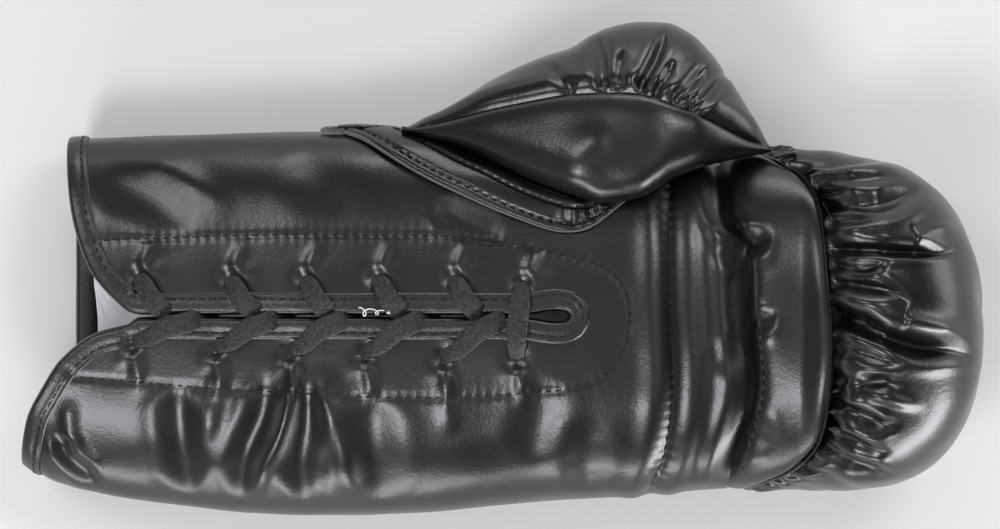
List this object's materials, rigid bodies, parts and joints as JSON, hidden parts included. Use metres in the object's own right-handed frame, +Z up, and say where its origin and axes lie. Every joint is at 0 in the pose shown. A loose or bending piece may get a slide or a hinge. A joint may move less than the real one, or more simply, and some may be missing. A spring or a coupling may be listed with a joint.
{
  "type": "boxing glove",
  "caption": "Lace-up padded boxing glove with attached thumb, gathered fist, grip bar and a laced cuff that opens like lapels.",
  "frame": {"origin": "centre of the glove's box in plan, on the surface that its back rests on", "axes": "+X from the wrist's mouth towards the fist, +Y towards the thumb, +Z up out of the laced palm side"},
  "size_m": [0.3233, 0.1651, 0.0915],
  "materials": {
    "leather": "satin black coated leather",
    "binding": "satin black edge binding",
    "lace": "matt charcoal flat braid",
    "lining": "white satin",
    "foam": "moulded foam"
  },
  "bodies": {
    "hand": {"back_cover": "leather", "palm_cover": "leather", "palm_seam_panel": "leather", "back_foam": "foam", "palm_foam": "foam", "hand_lining": "lining", "back_binding": "binding", "slit_end_binding": "binding", "thumb_strap": "leather", "lace": "lace"},
    "flap_thumb_side": {"flap_cover_thumb_side": "leather", "lace_facing_thumb_side": "leather", "flap_foam_thumb_side": "foam", "flap_lining_thumb_side": "lining", "flap_binding_thumb_side": "binding", "lace_knot_thumb_side": "lace"},
    "flap_little_side": {"flap_cover_little_side": "leather", "lace_facing_little_side": "leather", "flap_foam_little_side": "foam", "flap_lining_little_side": "lining", "flap_binding_little_side": "binding", "lace_knot_little_side": "lace"},
    "fist": {"fist_cover": "leather", "fist_foam": "foam", "grip_panel": "leather", "grip_bar": "foam", "finger_lining": "lining", "thumb_tie": "leather"},
    "thumb": {"thumb_outer_cover": "leather", "thumb_inner_cover": "leather", "thumb_foam": "foam", "thumb_lining": "lining"}
  },
  "joints": [
    {"name": "flap_open_thumb_side", "type": "hinge", "parent": "hand", "child": "flap_thumb_side", "pos_m": [0.026, 0.002, 0.065], "axis": [-0.9702, 0.203, -0.132], "range_deg": [0, 12], "stiffness_Nm_per_rad": 0.4, "deforming": ["lace"]},
    {"name": "flap_open_little_side", "type": "hinge", "parent": "hand", "child": "flap_little_side", "pos_m": [0.026, -0.033, 0.065], "axis": [0.9734, 0.1873, 0.1322], "range_deg": [0, 12], "stiffness_Nm_per_rad": 0.4},
    {"name": "fist_fold", "type": "hinge", "parent": "hand", "child": "fist", "pos_m": [0.0774, -0.018, 0.007], "axis": [0, -1, 0], "range_deg": [-6, 3], "stiffness_Nm_per_rad": 4},
    {"name": "thumb_flex", "type": "hinge", "parent": "hand", "child": "thumb", "pos_m": [-0.036, 0.047, 0.045], "axis": [0, 0, 1], "range_deg": [0, 4], "stiffness_Nm_per_rad": 1}
  ],
  "couplings": [
    {"joint": "flap_open_little_side", "follows": "flap_open_thumb_side", "ratio": 1}
  ]
}
